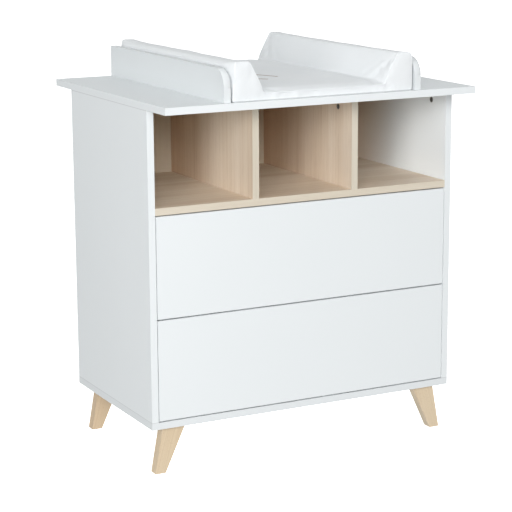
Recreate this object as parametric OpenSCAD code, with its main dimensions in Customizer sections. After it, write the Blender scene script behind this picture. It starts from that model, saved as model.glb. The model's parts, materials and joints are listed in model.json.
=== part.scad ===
// Changing table: a two-drawer chest on splayed legs with three open bays, a deep changing
// board with two rails and a loose padded mat.
// Origin: on the floor under the middle of the changing board. +Z up, the front faces -Y.
// Lengths are in millimetres.

/* [Cabinet] */
// Width of the chest and of the changing board
cabinet_width = 870; // [800:5:960]
// Depth of the chest, front edges to back face
cabinet_depth = 485; // [480:5:500]
// Height of the side panels, which stand on the bottom panel
side_height = 780; // [770:5:820]
// Thickness of the coated boards
board = 18; // [17:0.5:19]
// Thickness of the hardboard back panels
back_board = 3; // [2.5:0.5:4]
// Clear height of the open bays under the changing board
bay_height = 239.5; // [210:0.5:250]

/* [Changing board] */
// Depth of the changing board, front to back
changing_depth = 700; // [660:5:760]
// Height of the rails beside the mat
rail_height = 81; // [60:1:100]
// Length of the rails
rail_length = 688; // [600:1:695]
// Clear width between the rails
rail_spacing = 516; // [510:1:540]
// Radius of each rail's upper front corner
rail_corner = 45; // [20:1:55]

/* [Changing mat] */
// Overall width of the mat
mat_width = 508; // [480:1:510]
// Length of the mat
mat_length = 686; // [580:1:690]
// Thickness of the flat middle
mat_thickness = 25.5; // [15:0.5:35]
// Height of the raised sides above the changing board
mat_side_height = 97; // [70:1:120]
// Width of the foot of each raised side
mat_side_foot = 86; // [70:1:90]

/* [Legs] */
// Height from the floor to the bottom panel
leg_height = 123; // [90:1:160]
// Thickness of a leg, front to back
leg_thickness = 27.5; // [20:0.5:32]
// Width of a leg at the top
leg_top_width = 62; // [58:1:75]
// Width of a leg at the floor
leg_foot_width = 28; // [22:0.5:35]
// How far the outer edge leans outwards
leg_lean = 10.5; // [4:0.5:12]
// Distance from the chest's side to the top of a leg
leg_side_inset = 36.5; // [25:0.5:60]
// Distance from the chest's front to a front leg
leg_front_inset = 16.5; // [12:0.5:60]
// Distance from the chest's back to a rear leg
leg_rear_inset = 25; // [12:0.5:60]

/* [Drawers] */
// Gap above and below the drawer fronts
front_gap = 3; // [2.5:0.5:4]
// Gap beside the drawer fronts
side_gap = 2; // [1.5:0.5:4]
// Gap between the two drawer fronts
middle_gap = 3.5; // [3:0.5:6]
// Thickness of the drawer side and back boards
drawer_board = 15; // [15:0.5:16]
// Length of the drawer sides
drawer_length = 400; // [360:10:400]
// Height of the drawer sides
drawer_side_height = 216; // [200:1:220]
// Height of the drawer box above the lower edge of its front
drawer_raise = 14; // [12:1:16]

/* [Hidden] */
$fn = 48;
FIT = 0.05;          // clearance of a pin in its own hole, on the radius
CUT = 1;             // how far a cutter passes the face that it opens
BLIND = 0.5;         // how much deeper a blind bore is than what sits in it

// main heights
bottom_z = leg_height;
floor_z = bottom_z + board;
top_z = floor_z + side_height;
surface_z = top_z + board;
shelf_top_z = top_z - bay_height;
shelf_z = shelf_top_z - board;

// main half widths and depths
half_width = cabinet_width / 2;
inner_half = half_width - board;
front_y = -cabinet_depth / 2;
back_y = cabinet_depth / 2;
inner_back_y = back_y - back_board;
bay_width = (2 * inner_half - 2 * board) / 3;
divider_x = bay_width / 2 + board / 2;

// back panels sit in a rebate of the side panels and of the bottom panel
rebate = 8;
back_panel_play = 0.5;
back_joint_z = shelf_z + board / 2;
back_joint_gap = 1;

nail_r = 0.8;
nail_length = 18;
nail_head_r = 2;
nail_head_h = 0.8;
nails_up = 7;
nails_across = 7;
nail_first_z = 20;          // lowest nail of a side above the bottom panel
nail_last_z = 34;           // highest nail of a side below the changing board
nail_end = 60;              // nails of a row keep this far from the side panels
nail_edge = 5;              // distance from a back panel's edge to its row of nails

// cam fittings: 15 mm cams, 34 mm from the seam
cam_r = 7.4;
cam_depth = 12.5;
cam_offset = 34;
cam_slot = 10;              // length of the cross slot in the cam's face
cam_slot_width = 1.4;
cam_slot_depth = 2;
bolt_clearance = 0.3;
bolt_neck_start = 9;        // the neck starts this far below the cam's middle
bolt_neck_length = 6;
bolt_head_length = 5;
bolt_shaft_r = 3.4;
bolt_head_r = 3.2;
bolt_neck_r = 2.2;
bolt_thread_r = 2.5;
bolt_thread_depth = 11;
joint_y = back_y - 70;
dowel_y = 100;
dowel_r = 4;
dowel_in_face = 11;
dowel_in_edge = 19;

// 7 x 50 panel screws
screw_head_r = 5;
screw_head_h = 3;
screw_collar_r = 3.5;
screw_collar_length = board - 1;
screw_thread_r = 2.5;
screw_length = 50;
rail_screw_y = 290;

rail_back_inset = 1;
mat_back_inset = 1.5;

// 4 x 16 screws of the runners and latches
small_head_r = 3.5;
small_head_h = 1.4;
small_shank_r = 2;
small_shank_h = 13;

// drawer fronts and boxes
front_height = (shelf_z - floor_z - 2 * front_gap - middle_gap) / 2;
front_width = 2 * (inner_half - side_gap);
lower_z = floor_z + front_gap;
upper_z = lower_z + front_height + middle_gap;
front_back_y = front_y + board;
drawer_back_y = front_back_y + drawer_length;
runner_gap = 13;
drawer_half = inner_half - runner_gap;
base_board = 3;
base_raise = 10;
base_groove = 5;
front_groove = 8;

// telescopic runners: three members nested in the 13 mm beside the drawer
runner_z = 90;              // above the lower edge of the drawer box
runner_sheet = 1.2;
runner_start_y = front_back_y + 3;
runner_length = drawer_length;
middle_start_y = runner_start_y + 2;
middle_length = drawer_length - 20;
drawer_member_length = drawer_length - 4;
runner_screw_places = [0.08, 0.5, 0.92];
// each member: [where its web starts, how far its flanges reach, half height, lip], see below
cabinet_member = [0, 8.8, 22.5, 3.5];
middle_member = [3.2, 10.8, 18, 3];
middle_sheet = 1;
drawer_member = [runner_gap, 4.8, 13.8, 1.6];

// cams in the drawer sides, which pull the front on
drawer_cam_heights = [35, 180];
back_screw_heights = [40, 175];
back_screw_length = 40;
back_screw_head_r = 4;

// push latches, in the middle behind each drawer
latch_height = 38;          // plunger above the board that carries the latch
latch_gap = 3;
latch_body = [16, 46, 16];
latch_foot = [40, 46, 3];
latch_web = 6;
latch_screw_x = 13;
latch_bore_spare = 4;
latch_bore_r = 4;
plunger_r = 3.7;
plunger_length = 34;
plunger_tip_r = 5;
plunger_tip_length = 3;
plunger_out = 3.5;          // how far the plunger stands out of the latch, without its tip
latch_face_y = drawer_back_y + latch_gap + plunger_tip_length + plunger_out;

// legs
leg_outer_x = half_width - leg_side_inset;
leg_inner_x = leg_outer_x - leg_top_width;
leg_middle_x = (leg_outer_x + leg_inner_x) / 2;
front_leg_y = leg_front_inset + leg_thickness / 2 - back_y;
rear_leg_y = back_y - leg_rear_inset - leg_thickness / 2;
LEG_YS = [front_leg_y, rear_leg_y];
glide_h = 2;
glide_r = 9;
glide_pin_r = 1.25;
glide_pin_h = 15;
foot_outer_x = leg_outer_x + (leg_height - glide_h) * tan(leg_lean);
foot_inner_x = foot_outer_x - leg_foot_width;
foot_middle_x = (foot_outer_x + foot_inner_x) / 2;
leg_bolt_r = 4;
leg_bolt_depth = 40;
leg_bolt_in_nut = 12;
insert_r = 6;
insert_h = 14;
leg_dowel_x = leg_middle_x + 17;    // beside the bolt, so that the leg cannot turn

SIDES = [-1, 1];
WHITE = [0.95, 0.96, 0.97];
PALE_OAK = [0.83, 0.75, 0.63];
BEECH = [0.88, 0.79, 0.65];
ZINC = [0.45, 0.46, 0.47];
STEEL = [0.72, 0.73, 0.75];
GREY = [0.62, 0.63, 0.65];

// ---- places -------------------------------------------------------------------------------
// A joint place is [position, rotation]. In its own frame the seam is the plane z = 0 at mid
// thickness, +Z points into the board that holds the cam, and the cam opens towards +X.

function turn_down(side) = side > 0 ? [0, 180, 0] : [180, 0, 0];
function turn_up(side) = side > 0 ? [0, 0, 180] : [0, 0, 0];
function turn_in(side) = side > 0 ? [0, 90, 180] : [0, 90, 0];

// joints of the carcass at the depths given in ys
function top_joints(ys) = [
    for (side = SIDES, x = [half_width - board / 2, divider_x], y = ys)
        [[side * x, y, top_z], turn_down(side)]
];
function foot_joints(ys) = [
    for (side = SIDES, y = ys)
        [[side * (half_width - board / 2), y, floor_z], turn_up(side)]
];
function shelf_joints(ys) = [
    for (side = SIDES, y = ys)
        [[side * inner_half, y, shelf_z + board / 2], turn_in(side)]
];
function leg_dowel_joints() = [
    for (side = SIDES, y = LEG_YS)
        [[side * leg_dowel_x, y, bottom_z], [180, 0, 0]]
];

CAM_PLACES = concat(
    top_joints([-joint_y, joint_y]),
    foot_joints([-joint_y, joint_y]),
    shelf_joints([-joint_y, joint_y])
);
DOWEL_PLACES = concat(
    top_joints([0]),
    foot_joints([-dowel_y, dowel_y]),
    shelf_joints([-dowel_y, dowel_y]),
    leg_dowel_joints()
);

module at(places) {
    for (place = places) translate(place[0]) rotate(place[1]) children();
}

module mirrored(side) {
    mirror([side < 0 ? 1 : 0, 0, 0]) children();
}

// a block given by its lowest and highest corners
module block(low, high) {
    translate(low) cube(high - low);
}

// ---- fittings -----------------------------------------------------------------------------

// cam of a board of the given thickness
module cam(thickness = board) {
    difference() {
        translate([thickness / 2 - cam_depth, 0, cam_offset]) rotate([0, 90, 0])
            cylinder(r = cam_r, h = cam_depth);
        translate([0, 0, cam_offset - cam_r - CUT])
            cylinder(r = bolt_shaft_r + bolt_clearance, h = cam_r + bolt_shaft_r + CUT);
        translate([thickness / 2 - cam_slot_depth, 0, cam_offset])
            for (turn = [0, 90]) rotate([turn, 0, 0])
                translate([0, -cam_slot / 2, -cam_slot_width / 2])
                    cube([cam_slot_depth + CUT, cam_slot, cam_slot_width]);
    }
}

// bolt that the cam pulls on: thread in the other board, shaft up to the cam
module cam_bolt() {
    translate([0, 0, -bolt_thread_depth]) cylinder(r = bolt_thread_r, h = bolt_thread_depth);
    cylinder(r = bolt_shaft_r, h = cam_offset - bolt_neck_start);
    translate([0, 0, cam_offset - bolt_neck_start]) {
        cylinder(r = bolt_neck_r, h = bolt_neck_length);
        translate([0, 0, bolt_neck_length]) cylinder(r = bolt_head_r, h = bolt_head_length);
    }
}

module cam_bores(thickness = board) {
    translate([thickness / 2 - cam_depth - BLIND, 0, cam_offset]) rotate([0, 90, 0])
        cylinder(r = cam_r + FIT, h = cam_depth + BLIND + CUT);
    cylinder(r = bolt_shaft_r + bolt_clearance, h = cam_offset);
    translate([0, 0, -bolt_thread_depth - BLIND])
        cylinder(r = bolt_thread_r + FIT, h = bolt_thread_depth + BLIND + CUT);
}

module dowel() {
    translate([0, 0, -dowel_in_face]) cylinder(r = dowel_r, h = dowel_in_face + dowel_in_edge);
}

module dowel_bore() {
    translate([0, 0, -dowel_in_face - BLIND])
        cylinder(r = dowel_r + FIT, h = dowel_in_face + dowel_in_edge + 2 * BLIND);
}

// every bore of the carcass joints, taken out of each board that it meets
module carcass_bores() {
    at(CAM_PLACES) cam_bores();
    at(DOWEL_PLACES) dowel_bore();
}

// panel screw from the face z = 0 upwards, head sunk flush
module panel_screw() {
    cylinder(r = screw_head_r, h = screw_head_h);
    cylinder(r = screw_collar_r, h = screw_collar_length);
    cylinder(r = screw_thread_r, h = screw_length);
}

module panel_screw_bore() {
    translate([0, 0, -CUT]) cylinder(r = screw_head_r + FIT, h = screw_head_h + CUT);
    cylinder(r = screw_collar_r + FIT, h = screw_collar_length + FIT);
    cylinder(r = screw_thread_r + FIT, h = screw_length + FIT);
}

// where the panel screws go: up through the shelf and up through the changing board
module at_divider_screws() {
    for (side = SIDES, y = [-joint_y, joint_y])
        translate([side * divider_x, y, shelf_z]) children();
}

module at_rail_screws() {
    for (side = SIDES, y = [-rail_screw_y, 0, rail_screw_y])
        translate([side * (rail_spacing + board) / 2, y, top_z]) children();
}

// small pan head screw: head on the face x = 0, shank into +X
module small_screw() {
    rotate([0, 90, 0]) {
        cylinder(r = small_shank_r, h = small_shank_h);
        translate([0, 0, -small_head_h]) cylinder(r = small_head_r, h = small_head_h);
    }
}

module small_bore() {
    translate([-CUT, 0, 0]) rotate([0, 90, 0])
        cylinder(r = small_shank_r + FIT, h = small_shank_h + BLIND + CUT);
}

// ---- carcass ------------------------------------------------------------------------------

module bottom_panel() {
    color(WHITE) difference() {
        block([-half_width, front_y, bottom_z], [half_width, back_y, floor_z]);
        block(
            [-inner_half - rebate, inner_back_y, floor_z - board / 2],
            [inner_half + rebate, back_y + CUT, floor_z + CUT]
        );
        carcass_bores();
        at_legs() leg_bolt_bore();
        latch_screw_bores(lower_z);
    }
}

module side_panel(side) {
    color(WHITE) difference() {
        mirrored(side) difference() {
            block([inner_half, front_y, floor_z], [half_width, back_y, top_z]);
            block(
                [inner_half - CUT, inner_back_y, floor_z - CUT],
                [inner_half + rebate, back_y + CUT, top_z + CUT]
            );
            for (z = [lower_z, upper_z]) at_cabinet_runner_screws(z) small_bore();
        }
        carcass_bores();
    }
}

module shelf_panel() {
    color(PALE_OAK) difference() {
        block([-inner_half, front_y, shelf_z], [inner_half, inner_back_y, shelf_top_z]);
        carcass_bores();
        at_divider_screws() panel_screw_bore();
        latch_screw_bores(upper_z);
    }
}

module divider(side) {
    color(PALE_OAK) difference() {
        translate([side * divider_x - board / 2, front_y, shelf_top_z])
            cube([board, inner_back_y - front_y, bay_height]);
        carcass_bores();
        at_divider_screws() panel_screw_bore();
    }
}

module back_panel(low_z, high_z) {
    difference() {
        block(
            [-inner_half - rebate + back_panel_play, inner_back_y, low_z],
            [inner_half + rebate - back_panel_play, back_y, high_z]
        );
        at_nails() nail_bore();
    }
}

module cubby_back_panel() {
    color(PALE_OAK) back_panel(back_joint_z + back_joint_gap / 2, top_z);
}

module lower_back_panel() {
    color(WHITE) back_panel(floor_z - board / 2 + back_panel_play, back_joint_z - back_joint_gap / 2);
}

// nails point forwards, with the head behind the back panel
module nail() {
    translate([0, back_y, 0]) rotate([90, 0, 0]) {
        cylinder(r = nail_r, h = nail_length, $fn = 16);
        translate([0, 0, -nail_head_h]) cylinder(r = nail_head_r, h = nail_head_h, $fn = 16);
    }
}

module nail_bore() {
    translate([0, back_y + CUT, 0]) rotate([90, 0, 0])
        cylinder(r = nail_r + FIT, h = nail_length + CUT, $fn = 16);
}

// down both sides, in two rows along the shelf and in one along the bottom panel
module at_nails() {
    for (side = SIDES, i = [0 : nails_up - 1])
        translate([
            side * (inner_half + rebate / 2), 0,
            floor_z + nail_first_z + i * (side_height - nail_first_z - nail_last_z) / (nails_up - 1)
        ]) children();
    rows = [back_joint_z + nail_edge, back_joint_z - nail_edge, floor_z - nail_edge];
    for (i = [0 : nails_across - 1], z = rows)
        translate([(i / (nails_across - 1) - 0.5) * 2 * (inner_half - nail_end), 0, z]) children();
}

module top_board() {
    color(WHITE) difference() {
        block(
            [-half_width, -changing_depth / 2, top_z],
            [half_width, changing_depth / 2, surface_z]
        );
        carcass_bores();
        at_rail_screws() panel_screw_bore();
    }
}

// takes the sharp corner off an outline whose upper left corner is at the origin
module corner_cutter(r) {
    difference() {
        translate([-CUT, -r]) square(r + CUT);
        translate([r, -r]) circle(r = r, $fn = 96);
    }
}

// rail with a rounded upper front corner, drawn in its side view
module rail(side) {
    back_end = changing_depth / 2 - rail_back_inset;
    color(WHITE) difference() {
        translate([side * (rail_spacing + board) / 2 - board / 2, back_end, surface_z])
            rotate([90, 0, 90]) linear_extrude(board) difference() {
                translate([-rail_length, 0]) square([rail_length, rail_height]);
                translate([-rail_length, rail_height]) corner_cutter(rail_corner);
            }
        at_rail_screws() panel_screw_bore();
    }
}

// ---- changing mat -------------------------------------------------------------------------

// points of an arc from angle a to angle b
function arc(centre, r, a, b, steps = 6) = [
    for (i = [0 : steps]) centre + r * [cos(a + (b - a) * i / steps), sin(a + (b - a) * i / steps)]
];

// right half of the mat's end view, upwards from the foot: rounded raised side, inner slope
// and the edge of the flat middle
mat_half = mat_width / 2;
mat_edge_r = 5;
mat_crown_r = 12;
mat_brow_r = 8;                     // between the crest and the slope
mat_fillet_r = 8;                   // between the slope and the flat middle
mat_slope = 61;                     // angle of the inner slopes
mat_brow_z = mat_side_height - mat_brow_r;
mat_brow_x = mat_half - mat_side_foot + mat_brow_r * sin(mat_slope)
    + (mat_brow_z + mat_brow_r * cos(mat_slope) - mat_thickness) / tan(mat_slope);
mat_fillet_x = mat_half - mat_side_foot - mat_fillet_r * tan(mat_slope / 2);
mat_right = concat(
    arc([mat_half - mat_edge_r, mat_edge_r], mat_edge_r, -90, 0),
    arc([mat_half - mat_crown_r, mat_side_height - mat_crown_r], mat_crown_r, 0, 90),
    arc([mat_brow_x, mat_brow_z], mat_brow_r, 90, 90 + mat_slope),
    arc([mat_fillet_x, mat_thickness + mat_fillet_r], mat_fillet_r, mat_slope - 90, -90)
);
mat_left = [for (i = [len(mat_right) - 1 : -1 : 0]) [-mat_right[i][0], mat_right[i][1]]];

module changing_mat() {
    color(WHITE) translate([0, changing_depth / 2 - mat_back_inset, surface_z])
        rotate([90, 0, 0]) linear_extrude(mat_length)
            polygon(concat(mat_right, mat_left));
}

// ---- legs ---------------------------------------------------------------------------------

module at_legs() {
    for (side = SIDES, y = LEG_YS) mirrored(side) translate([0, y, 0]) children();
}

module leg(side, y) {
    color(BEECH) difference() {
        mirrored(side) translate([0, y + leg_thickness / 2, 0]) rotate([90, 0, 0])
            linear_extrude(leg_thickness) polygon([
                [leg_inner_x, bottom_z], [leg_outer_x, bottom_z],
                [foot_outer_x, glide_h], [foot_inner_x, glide_h]
            ]);
        at_legs() leg_bolt_bore();
        at_legs() glide_bore();
        at(leg_dowel_joints()) dowel_bore();
    }
}

// hanger bolt: wood thread down into the leg, machine thread up into the insert nut
module leg_bolt() {
    translate([leg_middle_x, 0, bottom_z - leg_bolt_depth])
        cylinder(r = leg_bolt_r, h = leg_bolt_depth + leg_bolt_in_nut);
}

module leg_insert_nut() {
    translate([leg_middle_x, 0, bottom_z]) difference() {
        cylinder(r = insert_r, h = insert_h);
        translate([0, 0, -CUT]) cylinder(r = leg_bolt_r + FIT, h = insert_h + 2 * CUT);
    }
}

module leg_bolt_bore() {
    translate([leg_middle_x, 0, bottom_z - leg_bolt_depth - BLIND])
        cylinder(r = leg_bolt_r + FIT, h = leg_bolt_depth + BLIND + CUT);
    translate([leg_middle_x, 0, bottom_z]) cylinder(r = insert_r + FIT, h = insert_h + BLIND);
}

module glide() {
    translate([foot_middle_x, 0, 0]) {
        cylinder(r = glide_r, h = glide_h);
        cylinder(r = glide_pin_r, h = glide_h + glide_pin_h);
    }
}

module glide_bore() {
    translate([foot_middle_x, 0, 0])
        cylinder(r = glide_pin_r + FIT, h = glide_h + glide_pin_h + FIT);
}

// ---- runners ------------------------------------------------------------------------------
// In the end view of the right-hand runners, u runs from the side panel (u = 0) towards the
// drawer (u = runner_gap), and v is the height from the runner's middle.

module runner_profile(member, sheet) {
    web_u = member[0];
    far = member[1];
    half = member[2];
    lip = member[3];
    inwards = sign(far - web_u);
    translate([min(web_u, web_u + inwards * sheet), -half]) square([sheet, 2 * half]);
    for (v = SIDES) {
        flange_v = v > 0 ? half - sheet : -half;
        lip_v = v > 0 ? half - lip : -half;
        translate([min(web_u, far), flange_v]) square([abs(far - web_u), sheet]);
        translate([min(far, far - inwards * sheet), lip_v]) square([sheet, lip]);
    }
}

// puts an end view at the right height, running back from start_y
module runner(side, z, start_y, length) {
    mirrored(side) translate([inner_half, start_y + length, z + drawer_raise + runner_z])
        rotate([90, 0, 0]) linear_extrude(length) mirror([1, 0]) children();
}

module cabinet_runner(side, z) {
    color(STEEL) difference() {
        runner(side, z, runner_start_y, runner_length)
            runner_profile(cabinet_member, runner_sheet);
        mirrored(side) at_cabinet_runner_screws(z) small_bore();
    }
}

module middle_runner(side, z) {
    color(STEEL) runner(side, z, middle_start_y, middle_length)
        runner_profile(middle_member, middle_sheet);
}

module drawer_runner(side, z) {
    color(STEEL) difference() {
        runner(side, z, runner_start_y, drawer_member_length)
            runner_profile(drawer_member, runner_sheet);
        mirrored(side) at_drawer_runner_screws(z) small_bore();
    }
}

// screws of the fixed members: head on the web, shank out into the side panel
module at_cabinet_runner_screws(z) {
    for (place = runner_screw_places)
        translate([
            inner_half - runner_sheet,
            runner_start_y + place * runner_length,
            z + drawer_raise + runner_z
        ]) children();
}

// screws of the drawer members: head on the web, shank inwards into the drawer side
module at_drawer_runner_screws(z) {
    for (place = runner_screw_places)
        translate([
            drawer_half + runner_sheet,
            runner_start_y + place * drawer_member_length,
            z + drawer_raise + runner_z
        ]) mirror([1, 0, 0]) children();
}

// ---- push latches -------------------------------------------------------------------------

// moves a latch from the bottom panel to the drawer whose front starts at z; the upper one
// hangs from the shelf
module at_latch(z) {
    if (z == lower_z) translate([0, 0, floor_z]) children();
    if (z == upper_z) translate([0, 0, shelf_z]) mirror([0, 0, 1]) children();
}

module push_latch(z) {
    color(GREY) at_latch(z) difference() {
        union() {
            translate([-latch_foot[0] / 2, latch_face_y, 0]) cube(latch_foot);
            translate([-latch_web / 2, latch_face_y, 0])
                cube([latch_web, latch_body[1], latch_height]);
            translate([-latch_body[0] / 2, latch_face_y, latch_height - latch_body[2] / 2])
                cube(latch_body);
        }
        translate([0, latch_face_y - CUT, latch_height]) rotate([-90, 0, 0])
            cylinder(r = latch_bore_r, h = plunger_length + latch_bore_spare + CUT);
        at_latch_screws() latch_screw_bore();
    }
}

module latch_plunger(z) {
    color(WHITE) at_latch(z) translate([0, latch_face_y - plunger_out, latch_height]) rotate([-90, 0, 0]) {
        cylinder(r = plunger_r, h = plunger_length);
        translate([0, 0, -plunger_tip_length]) cylinder(r = plunger_tip_r, h = plunger_tip_length);
    }
}

module at_latch_screws() {
    for (side = SIDES)
        translate([side * latch_screw_x, latch_face_y + latch_body[1] / 2, latch_foot[2]])
            children();
}

module latch_screw() {
    rotate([0, 90, 0]) small_screw();
}

module latch_screw_bore() {
    translate([0, 0, -small_shank_h - BLIND])
        cylinder(r = small_shank_r + FIT, h = small_shank_h + BLIND + CUT);
}

module latch_screw_bores(z) {
    at_latch(z) at_latch_screws() latch_screw_bore();
}

// ---- drawers ------------------------------------------------------------------------------
// z is the lower edge of the drawer's front

function drawer_cam_joints(z) = [
    for (side = SIDES, h = drawer_cam_heights)
        [[side * (drawer_half - drawer_board / 2), front_back_y, z + drawer_raise + h],
         [-90, side > 0 ? 0 : 180, 0]]
];

module drawer_bores(z) {
    at(drawer_cam_joints(z)) cam_bores(drawer_board);
    at_back_screws(z) back_screw_bore();
}

// screws through the drawer sides into the ends of the back
module at_back_screws(z) {
    for (side = SIDES, h = back_screw_heights)
        mirrored(side)
            translate([drawer_half, drawer_back_y - drawer_board / 2, z + drawer_raise + h])
                rotate([0, -90, 0]) children();
}

module back_screw() {
    cylinder(r = back_screw_head_r, h = screw_head_h);
    cylinder(r = small_shank_r, h = back_screw_length);
}

module back_screw_bore() {
    translate([0, 0, -CUT]) cylinder(r = back_screw_head_r + FIT, h = screw_head_h + CUT);
    cylinder(r = small_shank_r + FIT, h = back_screw_length + FIT);
}

// the base slides in grooves of the front and the sides and passes under the back
module drawer_base_block(z, play = 0) {
    block(
        [-drawer_half + drawer_board - base_groove - play, front_back_y - front_groove - play,
         z + drawer_raise + base_raise - play],
        [drawer_half - drawer_board + base_groove + play, drawer_back_y + play,
         z + drawer_raise + base_raise + base_board + play]
    );
}

module drawer_front(z) {
    color(WHITE) difference() {
        block([-front_width / 2, front_y, z], [front_width / 2, front_back_y, z + front_height]);
        drawer_base_block(z, play = FIT);
        drawer_bores(z);
    }
}

module drawer_side(side, z) {
    color(WHITE) difference() {
        mirrored(side) block(
            [drawer_half - drawer_board, front_back_y, z + drawer_raise],
            [drawer_half, drawer_back_y, z + drawer_raise + drawer_side_height]
        );
        drawer_base_block(z, play = FIT);
        drawer_bores(z);
        mirrored(side) at_drawer_runner_screws(z) small_bore();
    }
}

module drawer_back(z) {
    color(WHITE) difference() {
        block(
            [-drawer_half + drawer_board, drawer_back_y - drawer_board,
             z + drawer_raise + base_raise + base_board],
            [drawer_half - drawer_board, drawer_back_y, z + drawer_raise + drawer_side_height]
        );
        drawer_bores(z);
    }
}

module drawer_base(z) {
    color(WHITE) drawer_base_block(z);
}

module drawer_cams(z) {
    color(ZINC) at(drawer_cam_joints(z)) cam(drawer_board);
}

module drawer_cam_bolts(z) {
    color(STEEL) at(drawer_cam_joints(z)) cam_bolt();
}

module drawer_back_screws(z) {
    color(STEEL) at_back_screws(z) back_screw();
}

module drawer_runner_screws(z) {
    color(STEEL) for (side = SIDES) mirrored(side) at_drawer_runner_screws(z) small_screw();
}

// ---- grouped fasteners --------------------------------------------------------------------

module leg_bolts() {
    color(STEEL) at_legs() leg_bolt();
}

module leg_insert_nuts() {
    color(ZINC) at_legs() leg_insert_nut();
}

module leg_glides() {
    color(WHITE) at_legs() glide();
}

module cam_locks() {
    color(ZINC) at(CAM_PLACES) cam();
}

module cam_bolts() {
    color(STEEL) at(CAM_PLACES) cam_bolt();
}

module wood_dowels() {
    color(BEECH) at(DOWEL_PLACES) dowel();
}

module panel_screws() {
    color(STEEL) {
        at_divider_screws() panel_screw();
        at_rail_screws() panel_screw();
    }
}

module back_panel_nails() {
    color(STEEL) at_nails() nail();
}

module hardware_screws() {
    color(STEEL) {
        for (side = SIDES, z = [lower_z, upper_z])
            mirrored(side) at_cabinet_runner_screws(z) small_screw();
        for (z = [lower_z, upper_z]) at_latch(z) at_latch_screws() latch_screw();
    }
}

// ---- nodes --------------------------------------------------------------------------------

bottom_panel();
side_panel(-1);  // side_panel_left
side_panel(1);  // side_panel_right
shelf_panel();
divider(-1);  // divider_left
divider(1);  // divider_right
cubby_back_panel();
lower_back_panel();
top_board();
rail(-1);  // rail_left
rail(1);  // rail_right
changing_mat();
leg(-1, front_leg_y);  // leg_front_left
leg(1, front_leg_y);  // leg_front_right
leg(-1, rear_leg_y);  // leg_rear_left
leg(1, rear_leg_y);  // leg_rear_right
leg_bolts();
leg_insert_nuts();
leg_glides();
cam_locks();
cam_bolts();
wood_dowels();
panel_screws();
back_panel_nails();
cabinet_runner(-1, upper_z);  // cabinet_runner_upper_left
cabinet_runner(1, upper_z);  // cabinet_runner_upper_right
cabinet_runner(-1, lower_z);  // cabinet_runner_lower_left
cabinet_runner(1, lower_z);  // cabinet_runner_lower_right
hardware_screws();
push_latch(upper_z);  // push_latch_upper
push_latch(lower_z);  // push_latch_lower
latch_plunger(upper_z);  // latch_plunger_upper
latch_plunger(lower_z);  // latch_plunger_lower
middle_runner(-1, upper_z);  // middle_runner_upper_left
middle_runner(1, upper_z);  // middle_runner_upper_right
middle_runner(-1, lower_z);  // middle_runner_lower_left
middle_runner(1, lower_z);  // middle_runner_lower_right
drawer_front(upper_z);  // upper_drawer_front
drawer_side(-1, upper_z);  // upper_drawer_side_left
drawer_side(1, upper_z);  // upper_drawer_side_right
drawer_back(upper_z);  // upper_drawer_back
drawer_base(upper_z);  // upper_drawer_base
drawer_runner(-1, upper_z);  // upper_drawer_runner_left
drawer_runner(1, upper_z);  // upper_drawer_runner_right
drawer_cams(upper_z);  // upper_drawer_cams
drawer_cam_bolts(upper_z);  // upper_drawer_cam_bolts
drawer_back_screws(upper_z);  // upper_drawer_back_screws
drawer_runner_screws(upper_z);  // upper_drawer_runner_screws
drawer_front(lower_z);  // lower_drawer_front
drawer_side(-1, lower_z);  // lower_drawer_side_left
drawer_side(1, lower_z);  // lower_drawer_side_right
drawer_back(lower_z);  // lower_drawer_back
drawer_base(lower_z);  // lower_drawer_base
drawer_runner(-1, lower_z);  // lower_drawer_runner_left
drawer_runner(1, lower_z);  // lower_drawer_runner_right
drawer_cams(lower_z);  // lower_drawer_cams
drawer_cam_bolts(lower_z);  // lower_drawer_cam_bolts
drawer_back_screws(lower_z);  // lower_drawer_back_screws
drawer_runner_screws(lower_z);  // lower_drawer_runner_screws
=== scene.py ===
"""Changing table: materials, the padded mat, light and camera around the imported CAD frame."""

import json
import math

import bmesh
import bpy
import numpy as np
from mathutils import Matrix, Vector


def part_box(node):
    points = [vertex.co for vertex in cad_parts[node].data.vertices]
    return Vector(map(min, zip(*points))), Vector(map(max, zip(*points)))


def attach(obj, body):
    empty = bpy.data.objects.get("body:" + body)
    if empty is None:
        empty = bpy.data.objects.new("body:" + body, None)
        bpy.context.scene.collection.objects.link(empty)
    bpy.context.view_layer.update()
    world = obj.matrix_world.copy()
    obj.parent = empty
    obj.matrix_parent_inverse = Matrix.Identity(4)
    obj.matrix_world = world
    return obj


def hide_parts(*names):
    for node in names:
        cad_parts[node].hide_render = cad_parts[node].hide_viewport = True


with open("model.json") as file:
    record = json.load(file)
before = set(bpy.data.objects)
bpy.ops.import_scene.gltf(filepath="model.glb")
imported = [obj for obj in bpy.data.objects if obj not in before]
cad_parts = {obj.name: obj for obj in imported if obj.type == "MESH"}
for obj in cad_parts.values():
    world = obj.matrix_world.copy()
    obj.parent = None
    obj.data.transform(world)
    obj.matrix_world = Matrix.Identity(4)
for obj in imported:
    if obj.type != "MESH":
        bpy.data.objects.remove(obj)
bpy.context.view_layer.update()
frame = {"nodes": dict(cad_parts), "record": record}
NODES = frame["nodes"]
MAT_LOW, MAT_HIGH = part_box("changing_mat")
MM = 0.001
X, Y, Z = range(3)


# ---- camera ------------------------------------------------------------------------------------

CAMERA_PLACE = (-2.1223, -4.0680, 1.4678)
CAMERA_TURN = (27.358, 12.204, -0.330)      # yaw to the right, pitch down and roll, in degrees
SENSOR_WIDTH, LENS = 36, 123.75             # mm


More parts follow.
